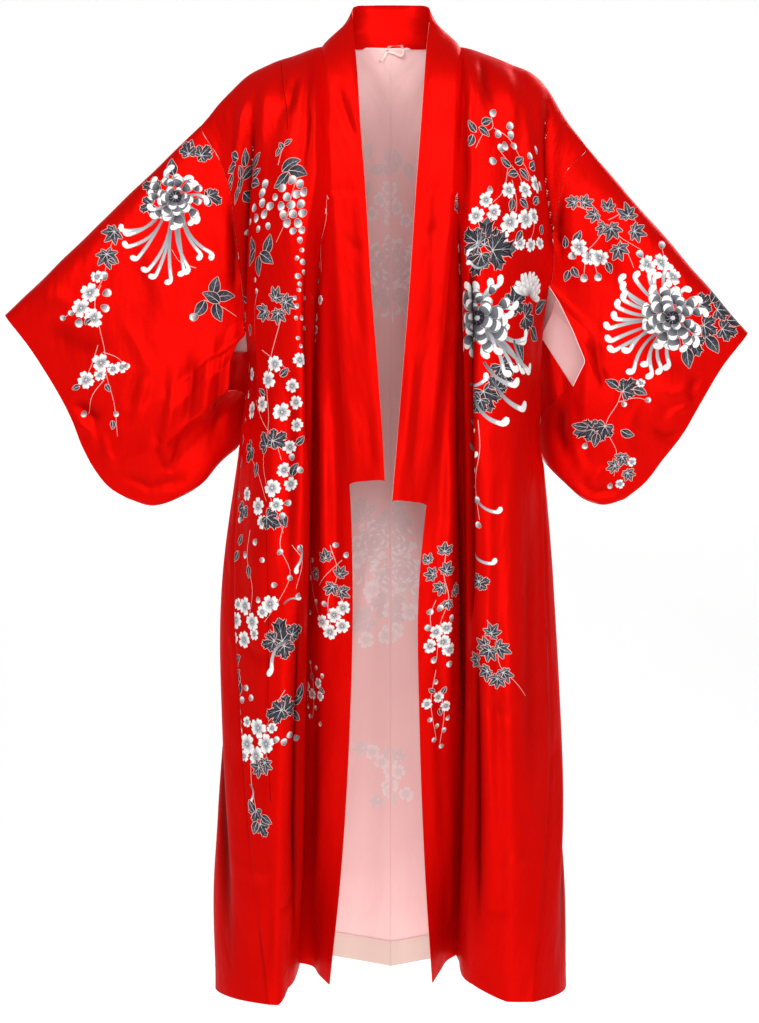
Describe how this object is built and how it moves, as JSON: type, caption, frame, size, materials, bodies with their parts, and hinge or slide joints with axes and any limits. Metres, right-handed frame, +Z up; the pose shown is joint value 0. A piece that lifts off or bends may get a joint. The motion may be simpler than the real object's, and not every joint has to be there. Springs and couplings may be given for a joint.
{
  "type": "silk kimono",
  "caption": "Full-length lined silk kimono with wide square sleeves, a long collar band, an open front and underarm slits, filled out as if worn.",
  "frame": {"origin": "base of the neck, on the centre line between the two shoulders, which carry the robe; the back neck seam runs just behind and above it", "axes": "+Z up, towards the standing collar; +X towards the wearer's left sleeve; -Y towards the open front"},
  "size_m": [1.051, 0.1929, 1.4022],
  "materials": {
    "red_silk": "glossy silk satin, printed with white, grey and charcoal flowers and leaves",
    "pink_lining": "thin plain silk lining",
    "cream_facing": "plain silk facing",
    "loop_tape": "narrow woven tape"
  },
  "bodies": {
    "root": {"body_left": "red_silk", "body_right": "red_silk", "collar": "red_silk", "hanger_loop": "loop_tape", "hem_facing_left": "cream_facing", "hem_facing_right": "cream_facing", "lining_left": "pink_lining", "lining_right": "pink_lining", "overlap_left": "red_silk", "overlap_right": "red_silk", "sleeve_left": "red_silk", "sleeve_lining_left": "pink_lining", "sleeve_lining_right": "pink_lining", "sleeve_right": "red_silk"}
  },
  "joints": []
}
